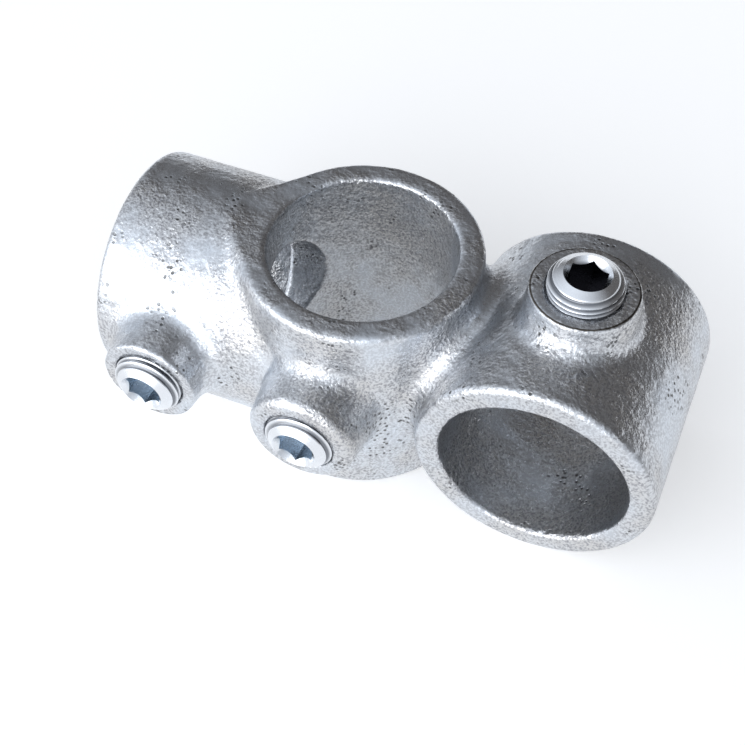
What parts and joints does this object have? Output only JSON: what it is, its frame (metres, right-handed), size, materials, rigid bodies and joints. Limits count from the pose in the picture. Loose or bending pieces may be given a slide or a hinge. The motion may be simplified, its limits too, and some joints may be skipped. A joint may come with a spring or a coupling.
{
  "type": "tube clamp tee fitting",
  "caption": "Cast clamp fitting that joins a through tube, a side tube and a crossing tube, each held by a hexagon socket set screw.",
  "frame": {"origin": "where the axes of the through socket and the tee socket meet, in the middle of the collar", "axes": "+Z is the through socket's axis, -X points out of the tee socket's mouth, and the crossover socket's axis runs along Y at positive X; the crossover screw is on top"},
  "size_m": [0.1361, 0.0681, 0.0667],
  "materials": {
    "galvanised_casting": "hot-dip galvanised, bright, slightly rough",
    "plated_screw": "turned and bright zinc plated"
  },
  "bodies": {
    "casting": {"casting": "galvanised_casting"},
    "tee_set_screw": {"tee_set_screw": "plated_screw"},
    "through_set_screw": {"through_set_screw": "plated_screw"},
    "crossover_set_screw": {"crossover_set_screw": "plated_screw"}
  },
  "joints": [
    {"name": "tee_screw_travel", "type": "slide", "parent": "casting", "child": "tee_set_screw", "axis": [0, 1, 0], "range_m": [-0.0039, 0.0024]},
    {"name": "through_screw_travel", "type": "slide", "parent": "casting", "child": "through_set_screw", "axis": [0, 1, 0], "range_m": [-0.0027, 0.0036]},
    {"name": "crossover_screw_travel", "type": "slide", "parent": "casting", "child": "crossover_set_screw", "axis": [0, 0, -1], "range_m": [-0.004, 0.0023]}
  ]
}
